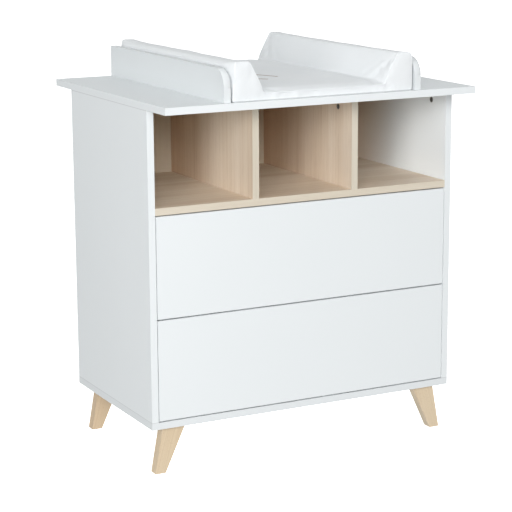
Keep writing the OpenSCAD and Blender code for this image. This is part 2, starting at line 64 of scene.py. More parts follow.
def make_camera():
    """The photograph's viewpoint: ahead and to the left of the chest, looking slightly down."""
    yaw, pitch, roll = (math.radians(angle) for angle in CAMERA_TURN)
    forward = Vector((
        math.sin(yaw) * math.cos(pitch), math.cos(yaw) * math.cos(pitch), -math.sin(pitch),
    ))
    right = Vector((math.cos(yaw), -math.sin(yaw), 0))
    up = right.cross(forward)
    camera_x = math.cos(roll) * right + math.sin(roll) * up
    camera_y = -math.sin(roll) * right + math.cos(roll) * up
    data = bpy.data.cameras.new("camera")
    data.sensor_width, data.lens = SENSOR_WIDTH, LENS
    camera = bpy.data.objects.new("camera", data)
    bpy.context.scene.collection.objects.link(camera)
    turn = Matrix((camera_x, camera_y, -forward)).transposed().to_4x4()
    camera.matrix_world = Matrix.Translation(CAMERA_PLACE) @ turn
    bpy.context.scene.camera = camera


# ---- material helpers --------------------------------------------------------------------------

class Tree:
    """A material or world node tree, with short calls that return output sockets."""

    def __init__(self, tree):
        self.tree = tree
        tree.nodes.clear()

    def add(self, kind, inputs=None, output=0, **settings):
        """A new node. Inputs that are sockets are linked, and other values are set."""
        made = self.tree.nodes.new(kind)
        for name, value in settings.items():
            setattr(made, name, value)
        for name, value in (inputs or {}).items():
            socket = made.inputs[name]
            if isinstance(value, bpy.types.NodeSocket):
                self.tree.links.new(value, socket)
            else:
                socket.default_value = value
        return made.outputs[output]

    def math(self, operation, first, second=0.0, third=0.0):
        return self.add(
            "ShaderNodeMath", {0: first, 1: second, 2: third}, operation=operation,
        )

    def coordinates(self):
        """The piece's own place and normal."""
        made = self.tree.nodes.new("ShaderNodeTexCoord")
        return made.outputs["Object"], made.outputs["Normal"]

    def along(self, vector, axis):
        """One component of a vector."""
        return self.add("ShaderNodeSeparateXYZ", {0: vector}, output=axis)

    def fit(self, value, low, high, to_low=0.0, to_high=1.0, smooth=False):
        """Maps low..high to to_low..to_high, clamped."""
        return self.add("ShaderNodeMapRange", {
            "Value": value, "From Min": low, "From Max": high, "To Min": to_low,
            "To Max": to_high,
        }, interpolation_type="SMOOTHSTEP" if smooth else "LINEAR")

    def mix(self, factor, first, second, blend="MIX"):
        return self.add("ShaderNodeMix", {
            "Factor": factor, 6: first, 7: second,
        }, output=2, data_type="RGBA", blend_type=blend)

    def noise(self, place, scale, detail, roughness=0.5, distortion=0.0):
        return self.add("ShaderNodeTexNoise", {
            "Vector": place, "Scale": scale, "Detail": detail, "Roughness": roughness,
            "Distortion": distortion,
        })

    def stretched_noise(self, place, scale, shift, detail, roughness, distortion=0.0):
        """Noise with a scale per metre along each axis."""
        stretched = self.add(
            "ShaderNodeMapping", {"Vector": place, "Location": shift, "Scale": scale},
        )
        return self.noise(stretched, 1.0, detail, roughness, distortion)

    def finish(self, kind, shader):
        """Links the shader to an output node of this kind."""
        out = self.tree.nodes.new(kind)
        self.tree.links.new(shader, out.inputs["Surface"])


def grey(value):
    return (value, value, value, 1)


def rgb(red, green, blue):
    return (red, green, blue, 1)


def scaled(colour, share):
    """A colour made darker or lighter."""
    return rgb(*(share * part for part in colour[:3]))


def new_material(name):
    material = bpy.data.materials.new(name)
    material.use_nodes = True
    return material, Tree(material.node_tree)


def finish_material(tree, colour, roughness, bump=None, strength=0.2, distance=0.0002,
                    **constants):
    """Principled shader on the output. The constants are sockets by name, with _ for spaces."""
    inputs = {"Base Color": colour, "Roughness": roughness}
    inputs.update({name.replace("_", " "): value for name, value in constants.items()})
    if bump is not None:
        inputs["Normal"] = tree.add("ShaderNodeBump", {
            "Strength": strength, "Distance": distance, "Height": bump,
        })
    tree.finish("ShaderNodeOutputMaterial", tree.add("ShaderNodeBsdfPrincipled", inputs))


# ---- colours and marks -------------------------------------------------------------------------

WHITE_BOARD = rgb(0.775, 0.808, 0.820)
WHITE_SEAM = rgb(0.55, 0.56, 0.56)
# painted shade: the rails and the bottom panel are darker copies of the white board
PAINTED_SHADE_SHARE = {"rail_left": 0.94, "rail_right": 0.94, "bottom_panel": 0.95}
BAY_SIDE_PAINTED_LIGHT = 1.13               # painted light: the side panels' inner faces are this much lighter than the other white boards
# painted warm shade: bounce light from the wood on the side panels deep in the bays
BAY_SIDE_PAINTED_BOUNCE = rgb(0.95, 0.78, 0.63)
# painted shade line where the side panels meet the boards above and below
JOINT_SHADE = rgb(0.36, 0.37, 0.38)
# light, middle and dark wood
OAK_TONES = (0.820, 0.680, 0.548), (0.765, 0.615, 0.478), (0.680, 0.520, 0.385)
BEECH_TONES = (0.745, 0.620, 0.455), (0.702, 0.572, 0.402), (0.630, 0.490, 0.328)
NO_TINT = (1, 1, 1)
# painted shade: multiplies the dividers browner deep in the bays
DIVIDER_PAINTED_SHADE = rgb(1.0, 0.84, 0.72)
OAK_PORE, OAK_BANDING = rgb(0.30, 0.20, 0.12), rgb(0.600, 0.578, 0.486)
OAK_SEAM = rgb(0.42, 0.31, 0.21)
BEECH_RAY, BEECH_PORE = rgb(0.42, 0.27, 0.15), rgb(0.40, 0.27, 0.16)
CHIPBOARD_TONES = rgb(0.25, 0.15, 0.08), rgb(0.62, 0.46, 0.28)
HARDBOARD_TONES = rgb(0.27, 0.165, 0.09), rgb(0.43, 0.29, 0.175)
RAW_ROUGHNESS = 0.85
ZINC_TONES = rgb(0.23, 0.235, 0.24), rgb(0.34, 0.345, 0.35)
STEEL_TONES = rgb(0.62, 0.63, 0.65), rgb(0.50, 0.51, 0.54)
GREY_PLASTIC, WHITE_PLASTIC = rgb(0.27, 0.28, 0.30), rgb(0.80, 0.81, 0.81)
COVER_TONES = rgb(0.780, 0.808, 0.823), rgb(0.805, 0.828, 0.842)
# painted contact shadow along the foot of the mat, where it lies on the board
COVER_CONTACT_SHADE = rgb(0.26, 0.27, 0.28)
INK = rgb(0.20, 0.105, 0.035)
MAT_PRINT = (
    # start and end of each printed stroke on the mat, in X and Y
    ((-0.043, -0.026), (-0.010, -0.112)),
    ((-0.100, -0.104), (-0.056, -0.146)),
    ((-0.112, -0.060), (-0.074, -0.086)),
)
STROKE_WIDTH = 8.8 * MM
BANDING = 1.3 * MM                  # how far the seam of the edge banding lies inside the edge
BAY_BACK = 0.24                     # Y of the back of the bays


def board_frame(node):
    """Middle, half sizes and thickness axis of a board."""
    low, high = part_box(node)
    half = (high - low) / 2
    return (low + high) / 2, half, min(range(3), key=lambda axis: half[axis])


def on_faces(tree, normal, axis, sign=0):
    """1 on faces that look along an axis, both ways or one way, and 0 elsewhere."""
    part = tree.along(normal, axis)
    part = tree.math("ABSOLUTE", part) if sign == 0 else tree.math("MULTIPLY", part, sign)
    return tree.fit(part, 0.6, 0.8)


def band_seam(tree, place, normal, node):
    """1 along the fine line where the edge banding meets the board's faces."""
    middle, half, thin = board_frame(node)
    distances = []
    for axis in (X, Y, Z):
        if axis != thin:
            away = tree.math("SUBTRACT", tree.along(place, axis), middle[axis])
            distances.append(tree.math("SUBTRACT", half[axis], tree.math("ABSOLUTE", away)))
    nearest = tree.math("MINIMUM", *distances)
    off = tree.math("ABSOLUTE", tree.math("SUBTRACT", nearest, BANDING))
    line = tree.fit(off, 0.15 * MM, 0.4 * MM, 1.0, 0.0)
    return tree.math("MULTIPLY", line, on_faces(tree, normal, thin))


def joint_shade_line(tree, place, node):
    """1 close to a board's lower and upper ends, where it meets the next board: the mask of a
    painted shade line there.
    """
    low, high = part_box(node)
    up = tree.along(place, Z)
    nearest = tree.math(
        "MINIMUM", tree.math("SUBTRACT", up, low.z), tree.math("SUBTRACT", high.z, up),
    )
    return tree.fit(nearest, 0.8 * MM, 1.3 * MM, 1.0, 0.0)


def painted_shade_depth(tree, place, start, most):
    """0 at the front of the bays, rising to most at their back: the mask of painted shade and
    painted bounce light deep in the bays.
    """
    return tree.fit(tree.along(place, Y), start, BAY_BACK, 0.0, most, smooth=True)


# ---- raw board ---------------------------------------------------------------------------------

def chipboard_colour(tree, place):
    """Raw chipboard: pale and brown flakes pressed together."""
    flakes = tree.add("ShaderNodeTexVoronoi", {
        "Vector": place, "Scale": 420.0, "Randomness": 1.0,
    }, output="Color", feature="F1")
    tone = tree.add("ShaderNodeSeparateColor", {0: flakes})
    dust = tree.noise(place, 900.0, 3.0)
    mixed = tree.math("MULTIPLY_ADD", dust, 0.5, tree.math("MULTIPLY", tone, 0.6))
    return tree.mix(tree.fit(mixed, 0.2, 0.9), *CHIPBOARD_TONES)


def hardboard_colour(tree, place):
    """Raw fibre board: fine brown felt of fibres."""
    fibres = tree.noise(place, 260.0, 6.0, 0.7, 1.5)
    cloud = tree.noise(place, 7.0, 2.0)
    tone = tree.math("MULTIPLY_ADD", cloud, 0.25, tree.math("MULTIPLY", fibres, 0.75))
    return tree.mix(tree.fit(tone, 0.3, 0.7), *HARDBOARD_TONES)


RAW_COLOURS = {"chipboard": chipboard_colour, "hardboard": hardboard_colour}


def leave_bare(tree, place, normal, raw, colour, roughness):
    """Shows raw board on uncoated faces. raw says what, along which axis and which way."""
    if raw is None:
        return colour, roughness
    what, axis, sign = raw
    mask = on_faces(tree, normal, axis, sign)
    colour = tree.mix(mask, colour, RAW_COLOURS[what](tree, place))
    return colour, tree.math("MAXIMUM", roughness, tree.math("MULTIPLY", mask, RAW_ROUGHNESS))


# ---- materials ---------------------------------------------------------------------------------

def tinted(tones, tint):
    """Tones multiplied by a tint, as colours."""
    return [rgb(*(part * share for part, share in zip(tone, tint))) for tone in tones]


def white_board(node, raw=None):
    """White melamine with a fine pearl texture. The side panels' inner faces carry painted light,
    and a painted warm shade of bounce light from the wood deep in the bays; their ends carry a
    thin painted shade line where they meet the next boards."""
    material, tree = new_material("white_board_" + node)
    place, normal = tree.coordinates()
    cloud, speck = tree.noise(place, 2.3, 3.0), tree.noise(place, 240.0, 2.0)
    pearl = tree.noise(place, 750.0, 2.0, 0.6)
    shade = tree.math(
        "MULTIPLY_ADD", cloud, 0.03, tree.math("MULTIPLY_ADD", speck, 0.012, 0.979),
    )
    # painted shade on the rails and the bottom panel
    white = scaled(WHITE_BOARD, PAINTED_SHADE_SHARE.get(node, 1.0))
    # painted light on the side panels' inner faces, turning into painted warm bounce shade deep
    # in the bays
    if node.startswith("side_panel"):
        inside = on_faces(tree, normal, X, -1 if node.endswith("right") else 1)
        bounce_shade = tree.mix(
            painted_shade_depth(tree, place, -0.02, 0.85), scaled(WHITE_BOARD, BAY_SIDE_PAINTED_LIGHT),
            BAY_SIDE_PAINTED_BOUNCE,
        )
        white = tree.mix(inside, white, bounce_shade)
    colour = tree.mix(1.0, white, tree.add("ShaderNodeCombineColor", {
        "Red": shade, "Green": shade, "Blue": shade,
    }), "MULTIPLY")
    seam = tree.math("MULTIPLY", band_seam(tree, place, normal, node), 0.22)
    colour = tree.mix(seam, colour, WHITE_SEAM)
    # painted shade line at the side panels' upper and lower ends
    if node.startswith("side_panel"):
        line = tree.math("MULTIPLY", joint_shade_line(tree, place, node), 0.55)
        colour = tree.mix(line, colour, JOINT_SHADE)
    roughness = tree.fit(speck, 0.3, 0.7, 0.34, 0.46)
    colour, roughness = leave_bare(tree, place, normal, raw, colour, roughness)
    height = tree.math("MULTIPLY_ADD", seam, -2.0, pearl)
    finish_material(
        tree, colour, roughness, height, strength=0.16, distance=0.00012,
        Specular_IOR_Level=0.25,
    )
    return material


def wood_tone(tree, place, grain, seed, light, middle, dark, fine=1.0):
    """Straight grain along an axis: the colour of its bands and streaks, its fine dark pores,
    and the streaks alone."""
    def scale(along, across):
        return tuple(along if axis == grain else across for axis in (X, Y, Z))

    shift = (seed * 3.1, seed * 1.7, seed * 5.3)
    bands = tree.stretched_noise(place, scale(0.9, 17.0), shift, 2.0, 0.5, 0.25)
    streaks = tree.stretched_noise(place, scale(2.4, 125.0 * fine), shift, 4.0, 0.62)
    pores = tree.stretched_noise(place, scale(22.0, 780.0 * fine), shift, 2.0, 0.6)
    tone = tree.math("MULTIPLY_ADD", bands, 0.55, tree.math("MULTIPLY", streaks, 0.45))
    ramp = tree.tree.nodes.new("ShaderNodeValToRGB")
    tree.tree.links.new(tone, ramp.inputs[0])
    stops = ramp.color_ramp.elements
    stops[0].position, stops[0].color = 0.36, dark
    stops[1].position, stops[1].color = 0.64, light
    stops.new(0.5).color = middle
    return ramp.outputs[0], tree.fit(pores, 0.56, 0.68), streaks


def oak_board(node, grain, seed, raw=None, tint=NO_TINT):
    """Pale oak decor, with greyer edge banding on the front edge. The dividers carry a painted
    brown shade deep in the bays."""
    material, tree = new_material("oak_board_" + node)
    place, normal = tree.coordinates()
    colour, pore, streaks = wood_tone(tree, place, grain, seed, *tinted(OAK_TONES, tint))
    # painted shade on the dividers, browner deep in the bays
    if node.startswith("divider"):
        colour = tree.mix(
            painted_shade_depth(tree, place, -0.12, 1.0), colour,
            tree.mix(1.0, colour, DIVIDER_PAINTED_SHADE, "MULTIPLY"),
        )
    colour = tree.mix(tree.math("MULTIPLY", pore, 0.20), colour, OAK_PORE)
    banding = on_faces(tree, normal, Y, -1)
    colour = tree.mix(tree.math("MULTIPLY", banding, 0.62), colour, OAK_BANDING)
    seam = tree.math("MULTIPLY", band_seam(tree, place, normal, node), 0.35)
    colour = tree.mix(seam, colour, OAK_SEAM)
    roughness = tree.fit(streaks, 0.3, 0.7, 0.42, 0.56)
    colour, roughness = leave_bare(tree, place, normal, raw, colour, roughness)
    height = tree.math("SUBTRACT", tree.math("MULTIPLY", streaks, 0.6), pore)
    finish_material(tree, colour, roughness, height, strength=0.22, distance=0.00012)
    return material


def beech(node, seed, lean=0.0, tint=NO_TINT):
    """Solid beech: close grain down the leg, with the short dark flecks of its rays."""
    material, tree = new_material("beech_" + node)
    place, _ = tree.coordinates()
    place = tree.add("ShaderNodeMapping", {"Vector": place, "Rotation": (0, lean, 0)})
    colour, pore, streaks = wood_tone(
        tree, place, Z, seed, *tinted(BEECH_TONES, tint), fine=2.2,
    )
    flecks = tree.stretched_noise(place, (620.0, 620.0, 190.0), (seed, 0, 0), 1.0, 0.5)
    fleck = tree.fit(flecks, 0.63, 0.70)
    colour = tree.mix(tree.math("MULTIPLY", fleck, 0.30), colour, BEECH_RAY)
    colour = tree.mix(tree.math("MULTIPLY", pore, 0.12), colour, BEECH_PORE)
    roughness = tree.fit(streaks, 0.3, 0.7, 0.40, 0.55)
    height = tree.math("SUBTRACT", tree.math("MULTIPLY", streaks, 0.8), fleck)
    finish_material(tree, colour, roughness, height, strength=0.25, distance=0.00012)
    return material


def metal(name, colour, worn, low_roughness, high_roughness, grain=(60.0, 60.0, 60.0)):
    """Plated or cast metal, with clouds in its colour and sheen."""
    material, tree = new_material(name)
    place, _ = tree.coordinates()
    cloud = tree.stretched_noise(place, grain, (0, 0, 0), 4.0, 0.6)
    fine = tree.noise(place, 1500.0, 2.0)
    colour = tree.mix(tree.fit(cloud, 0.35, 0.68), colour, worn)
    roughness = tree.fit(cloud, 0.3, 0.7, low_roughness, high_roughness)
    finish_material(
        tree, colour, roughness, fine, strength=0.12, distance=0.00008, Metallic=1.0,
    )
    return material


def plastic(name, colour, roughness):
    """Moulded plastic with a fine eroded grain."""
    material, tree = new_material(name)
    place, _ = tree.coordinates()
    cloud, grain = tree.noise(place, 35.0, 2.0), tree.noise(place, 2200.0, 2.0)
    finish_material(
        tree, tree.mix(tree.fit(cloud, 0.3, 0.7), colour, scaled(colour, 0.9)),
        tree.fit(grain, 0.3, 0.7, roughness - 0.06, roughness + 0.08), grain,
        strength=0.2, distance=0.00006,
    )
    return material


def stroke(tree, place, start, end, half_width):
    """1 on a straight printed line from start to end, seen from above."""
    length = math.dist(start, end)
    angle = math.atan2(end[1] - start[1], end[0] - start[0])
    cos, sin = math.cos(angle), math.sin(angle)
    turned = tree.add("ShaderNodeMapping", {
        "Vector": place, "Rotation": (0, 0, -angle),
        "Location": (-cos * start[0] - sin * start[1], sin * start[0] - cos * start[1], 0),
    })
    run, aside = tree.along(turned, X), tree.math("ABSOLUTE", tree.along(turned, Y))
    beyond = tree.math("ABSOLUTE", tree.math("SUBTRACT", run, length / 2))
    beyond = tree.math("SUBTRACT", beyond, length / 2 - half_width)
    away, soft = tree.math("MAXIMUM", aside, beyond), 0.2 * MM
    return tree.fit(away, half_width - soft, half_width + soft, 1.0, 0.0)


def mat_cover():
    """White coated fabric: smooth, softly shiny, with a very fine emboss and a small print of
    three plain strokes. A painted contact shadow darkens it where it lies on the board."""
    material, tree = new_material("mat_cover")
    place, normal = tree.coordinates()
    cloud = tree.noise(place, 5.0, 3.0)
    cells = tree.add("ShaderNodeTexVoronoi", {
        "Vector": place, "Scale": 900.0,
    }, output="Distance", feature="F1")
    creases = tree.noise(place, 22.0, 4.0, 0.5, 0.8)
    colour = tree.mix(tree.fit(cloud, 0.3, 0.7), *COVER_TONES)
    ink = 0.0
    for start, end in MAT_PRINT:
        ink = tree.math("MAXIMUM", ink, stroke(tree, place, start, end, STROKE_WIDTH / 2))
    ink = tree.math("MULTIPLY", ink, on_faces(tree, normal, Z, 1))
    colour = tree.mix(ink, colour, INK)
    # painted contact shadow along the foot of the mat
    up = tree.along(place, Z)
    under = tree.fit(up, MAT_LOW.z + 0.9 * MM, MAT_LOW.z + 2.4 * MM, 0.6, 0.0)
    colour = tree.mix(under, colour, COVER_CONTACT_SHADE)
    roughness = tree.fit(creases, 0.3, 0.7, 0.36, 0.46)
    height = tree.math("MULTIPLY_ADD", creases, 2.5, tree.math("MULTIPLY", cells, 0.8))
    finish_material(
        tree, colour, roughness, height, strength=0.20, distance=0.00035,
        Specular_IOR_Level=0.35, Coat_Weight=0.06, Coat_Roughness=0.3, Sheen_Weight=0.05,
        Sheen_Roughness=0.5,
    )
    return material


# ---- the mat -----------------------------------------------------------------------------------

MAT_MIDDLE = (MAT_LOW + MAT_HIGH) / 2
MAT_HALF = (MAT_HIGH.x - MAT_LOW.x) / 2
MAT_HEIGHT = MAT_HIGH.z - MAT_LOW.z
END_DEPTH = 5 * MM          # both end faces are rounded off over less than this
END_ROWS = 5                # rows of points round an end's edge
STRAIGHT_ROWS = 91          # rows between the two ends' edges
ROWS = 2 * END_ROWS + STRAIGHT_ROWS
HELD_ROWS = 4               # rows of an end that the simulation leaves where they are
SEAM_ROW = 2                # row that the seam follows, counted from its end
SEAM_RADIUS = 0.8 * MM
TAPER = 42 * MM             # length over which the mat grows smaller towards the ends
LEAN = 8.0 * MM             # how far the top of its left side leans in at the ends
THINNING = 5.5 * MM         # how much thinner the flat middle is there
SLACK = 1.0 * MM            # the mat starts this much smaller, and the simulation fills it
SWELL = 2.2 * MM            # a point of the cover moves no further than this
THICKNESS = 25.5 * MM       # of the flat middle
FOOT = 86 * MM              # from the mat's side to the foot of the inner slope
CREASE = 4 * MM             # what lies this close to the foot is creased
FOAM_SHIFT, WALL_SHIFT = 4.0 * MM, 1.5 * MM     # of the flat foam and of the raised sides
RAIL_GAP = 1.8 * MM         # more room beside the right rail
SLOPE_TURN = 61             # degrees of the inner slope from level
SLOPE = math.radians(SLOPE_TURN)
FRAMES = 20                 # that the simulation runs for
FOLDS_PER_FOOT = 7          # small folds beside each end of each slope's foot
CROWN_TURN = 45             # degrees at which the side passes into the top


def arc(centre, radius, start, end, steps):
    """Points on a circle from one angle to another, in degrees."""
    return [
        (centre[0] + radius * math.cos(math.radians(angle)),
         centre[1] + radius * math.sin(math.radians(angle)))
        for angle in np.linspace(start, end, steps + 1)
    ]


def evenly(start, end, steps):
    """The points between two points, without either."""
    return [tuple(point) for point in np.linspace(start, end, steps + 1)[1:-1]]


def rise(values, start, length):
    """0 up to start, then rising evenly to 1 over length."""
    return np.clip((values - start) / length, 0, 1)


def mat_outline():
    """End view of the mat as four lines round it: bottom, right side, top and left side."""
    half, height = MAT_HALF / MM - SLACK / MM, MAT_HEIGHT / MM - SLACK / MM
    flat = (THICKNESS - SLACK) / MM
    corner, crown, brow, fillet = 6, 13, 9, 8       # radii in mm
    foot = half - (FOOT - 0.5 * SLACK) / MM
    tip = foot + (height - brow * (1 - math.cos(SLOPE)) - flat) / math.tan(SLOPE)
    brow_x, fillet_x = tip + brow * math.sin(SLOPE), foot - fillet * math.tan(SLOPE / 2)
    side = (
        arc((half - corner, corner), corner, -CROWN_TURN, 0, 2)
        + evenly((half, corner), (half, height - crown), 8)
        + arc((half - crown, height - crown), crown, 0, CROWN_TURN, 2)
    )
    slope_start = arc((brow_x, height - brow), brow, 90, 90 + SLOPE_TURN, 4)
    slope_end = arc((fillet_x, flat + fillet), fillet, SLOPE_TURN - 90, -90, 3)
    shoulder = (
        arc((half - crown, height - crown), crown, CROWN_TURN, 90, 2)
        + evenly((half - crown, height), slope_start[0], 4)
        + slope_start
        + evenly(slope_start[-1], slope_end[0], 10)
        + slope_end
    )
    middle = evenly(shoulder[-1], (-shoulder[-1][0], flat), 44)
    top = shoulder + middle + [(-x, z) for x, z in reversed(shoulder)]
    bottom = []
    for x, _ in top:
        x *= (half - corner + corner * math.cos(math.radians(CROWN_TURN))) / top[0][0]
        past = max(abs(x) - (half - corner), 0)
        bottom.append((x, corner - math.sqrt(corner ** 2 - past ** 2)))
    left = [(-x, z) for x, z in side]
    return [settle(np.array(line, float) * MM) for line in (bottom[::-1], side, top, left[::-1])]


def outer_side(loop):
    """1 on the mat's two outer sides, fading to 0 on its top and bottom."""
    return rise(np.abs(loop[:, 0]), MAT_HALF - 13 * MM, 10 * MM)


def end_rounding(loop):
    """How far the edge round an end face is rounded off at each point of the loop, as the inset
    of the face and the depth: softly along the flat middle, tightly along the slopes."""
    outer, above = outer_side(loop), rise(loop[:, 1], THICKNESS, 12 * MM)
    crest = rise(loop[:, 1], MAT_HEIGHT - 10 * MM, 8 * MM)
    under = 1 - rise(loop[:, 1], 0, 8 * MM)

    def blend(flat, slope, more_at_crest, side):
        """One figure round the loop, from what it is in mm on each part."""
        top = flat * (1 - above) + (slope + more_at_crest * crest) * above
        return top * (1 - outer) + side * outer

    inset = blend(4.5, 1.0, 2.0, 1.8) * (1 - under) + 2.2 * under
    return inset * MM, blend(4.5, 1.8, 1.7, 2.2) * MM


def end_shape(loop, distance):
    """How the mat changes this far from the nearer end: its left side leans in, and the flat
    middle thins out."""
    near, outer = max(1 - distance / TAPER, 0.0), outer_side(loop)
    left = outer * (loop[:, 0] < 0) * rise(loop[:, 1], 0, 60 * MM)
    flat = (1 - rise(np.abs(loop[:, 1] - THICKNESS), 0, 14 * MM)) * (1 - outer)
    return np.stack([left * LEAN * near ** 1.6, -flat * THINNING * near ** 1.5], axis=1)


def settle(loop):
    """The foam has shifted a few millimetres to the right inside its cover, and its right side
    stands clear of the rail."""
    inner = rise(MAT_HALF - 12 * MM - np.abs(loop[:, 0]), 0, 40 * MM)
    above = rise(loop[:, 1], THICKNESS, MAT_HEIGHT - THICKNESS)
    share = rise(loop[:, 0], -MAT_HALF, 2 * MAT_HALF)
    moved = loop.copy()
    moved[:, 0] += inner * (FOAM_SHIFT * share * (1 - above) + WALL_SHIFT * above)
    moved[:, 0] -= np.where(loop[:, 0] > 0, outer_side(loop), 0) * RAIL_GAP
    return moved


def inwards(loop):
    """Unit normals of a closed anticlockwise loop, pointing into it."""
    tangent = np.roll(loop, -1, axis=0) - np.roll(loop, 1, axis=0)
    tangent /= np.linalg.norm(tangent, axis=1)[:, None]
    return np.stack([-tangent[:, 1], tangent[:, 0]], axis=1)


def end_grid(bottom, right, top, left):
    """Points over an end face, blended between its four edges: rows upwards, columns in X."""
    low, high = bottom, top[::-1]
    start, end = left[::-1], right
    u = ((low[:, 0] - low[0, 0]) / (low[-1, 0] - low[0, 0]))[None, :, None]
    v = np.linspace(0, 1, len(start))[:, None, None]
    return (
        (1 - v) * low[None] + v * high[None] + (1 - u) * start[:, None] + u * end[:, None]
        - (1 - u) * (1 - v) * low[0] - u * (1 - v) * low[-1]
        - (1 - u) * v * high[0] - u * v * high[-1]
    )


def mat_vertex(mesh, point, y):
    """A vertex from a point of the end view, kept above the board."""
    return mesh.verts.new((MAT_MIDDLE.x + point[0], y, MAT_LOW.z + max(point[1], 0.0)))


def skin(mesh, grid):
    """Quads between neighbouring rows of vertices."""
    for row, following in zip(grid, grid[1:]):
        for i in range(len(row) - 1):
            mesh.faces.new((row[i], row[i + 1], following[i + 1], following[i]))


def close_end(mesh, ring, starts, y):
    """An end face between the four edges of its ring."""
    closed = ring + ring[:1]
    edges = [closed[a:b + 1] for a, b in zip(starts, starts[1:])]
    points = end_grid(*(
        np.array([(v.co.x - MAT_MIDDLE.x, v.co.z - MAT_LOW.z) for v in edge]) for edge in edges
    ))
    bottom, right, top, left = edges
    grid = [bottom]
    for row in range(1, len(points) - 1):
        inner = [mat_vertex(mesh, point, y) for point in points[row, 1:-1]]
        grid.append([left[::-1][row], *inner, right[row]])
    skin(mesh, grid + [top[::-1]])


def build_mat_mesh():
    """Closed mat of quads: its lengthwise rows first, then the two end faces."""
    lines = mat_outline()
    loop = np.concatenate([line[:-1] for line in lines])
    front, back = MAT_LOW.y + SLACK, MAT_HIGH.y - SLACK
    insets, depths = end_rounding(loop)
    insets = insets[:, None] * inwards(loop)
    turns = np.radians(np.linspace(0, 90, END_ROWS))
    near = [(depths * (1 - math.cos(t)), 1 - math.sin(t)) for t in turns]
    straight = np.linspace(front + END_DEPTH, back - END_DEPTH, STRAIGHT_ROWS)
    rows = [(front + depth, share) for depth, share in near]
    rows += [(np.full(len(loop), y), 0.0) for y in straight]
    rows += [(back - depth, share) for depth, share in reversed(near)]
    mesh, rings = bmesh.new(), []
    for run, share in rows:
        distance = min(run.min() - front, back - run.max())
        ring = loop + share * insets + end_shape(loop, distance)
        rings.append([mat_vertex(mesh, point, y) for point, y in zip(ring, run)])
    skin(mesh, [ring + ring[:1] for ring in rings])
    starts = np.cumsum([0] + [len(line) - 1 for line in lines])
    close_end(mesh, rings[0], starts, front)
    close_end(mesh, rings[-1], starts, back)
    bmesh.ops.recalc_face_normals(mesh, faces=mesh.faces)
    data = bpy.data.meshes.new("changing_mat_cover")
    mesh.to_mesh(data)
    mesh.free()
    return data


def get_points(data):
    """A mesh's vertices as rows of an array."""
    points = np.zeros(len(data.vertices) * 3, np.float64)
    data.vertices.foreach_get("co", points)
    return points.reshape(-1, 3)


def set_points(data, points):
    data.vertices.foreach_set("co", points.astype(np.float32).ravel())
    data.update()


def evaluated_copy(piece):
    """The piece's mesh with its modifiers applied."""
    graph = bpy.context.evaluated_depsgraph_get()
    return bpy.data.meshes.new_from_object(piece.evaluated_get(graph), depsgraph=graph)


def crease_distance(points):
    """Distance in X from the foot of the nearer inner slope."""
    return np.abs(np.abs(points[:, 0] - MAT_MIDDLE.x) - (MAT_HALF - FOOT))


def inflate(piece, folds):
    """Fills the cover by a cloth simulation with air pressure. What lies on the board, the
    creases at the feet of the slopes and the sewn folds round the ends stay where they are."""
    start = get_points(piece.data)
    above = start[:, Z] - MAT_LOW.z
    creases = (crease_distance(start) < CREASE) & (above < THICKNESS + CREASE)
    held = (above < 1.0 * MM) | creases
    held[folds] = True
    pins = piece.vertex_groups.new(name="held")
    pins.add([int(i) for i in np.nonzero(held)[0]], 1.0, "REPLACE")
    cloth = piece.modifiers.new("cloth", "CLOTH")
    settings = cloth.settings
    settings.vertex_group_mass = "held"
    settings.quality = 6
    settings.mass = 0.25
    settings.tension_stiffness = settings.compression_stiffness = 18
    settings.shear_stiffness = 6
    settings.bending_stiffness = 1.2
    settings.shrink_min = -0.012
    settings.use_pressure = True
    settings.uniform_pressure_force = 4.0
    settings.effector_weights.gravity = 0.0
    cloth.point_cache.frame_start, cloth.point_cache.frame_end = 1, FRAMES
    for step in range(1, FRAMES + 1):
        bpy.context.scene.frame_set(step)
    settled = evaluated_copy(piece)
    end = get_points(settled)
    bpy.data.meshes.remove(settled)
    piece.modifiers.clear()
    bpy.context.scene.frame_set(1)
    move = end - start
    length = np.linalg.norm(move, axis=1)[:, None]
    limited = SWELL * np.tanh(length / SWELL)
    set_points(piece.data, start + move * limited / np.maximum(length, 1e-9))


def wrinkle(piece):
    """Small folds of the cover beside the feet of the slopes, closest near the ends, and a long
    low wave of its flat parts."""
    points = get_points(piece.data)
    normals = np.zeros(len(points) * 3)
    piece.data.vertices.foreach_get("normal", normals)
    normals = normals.reshape(-1, 3)
    draw = np.random.default_rng(7)
    shift = np.zeros(len(points))
    for side in (-1, 1):
        for end, facing in ((MAT_LOW.y, 1), (MAT_HIGH.y, -1)):
            for _ in range(FOLDS_PER_FOOT):
                y = end + facing * (14 + 110 * draw.random() ** 1.6) * MM
                x = MAT_MIDDLE.x + side * (MAT_HALF - FOOT + draw.uniform(2, 34) * MM)
                turn = draw.uniform(-0.5, 0.5) + side * facing * 0.9
                along = np.array([math.cos(turn), math.sin(turn)])
                offset = points[:, :2] - (x, y)
                run = offset @ along
                aside = offset @ np.array([-along[1], along[0]])
                size, width = draw.uniform(12, 26) * MM, draw.uniform(3.2, 5.0) * MM
                ridge, hollow = aside / width, aside / width - 1.7
                fold = np.exp(-ridge ** 2) - 0.5 * np.exp(-hollow ** 2)
                shift += draw.uniform(0.35, 0.9) * MM * fold * np.exp(-(run / size) ** 2)
    lying = np.clip((normals[:, 2] - 0.2) / 0.2, 0, 1)
    long_wave = 0.35 * MM * np.sin(points[:, 1] * 38 + 2.0 * np.sin(points[:, 0] * 21))
    set_points(piece.data, points + normals * ((shift + long_wave) * lying)[:, None])


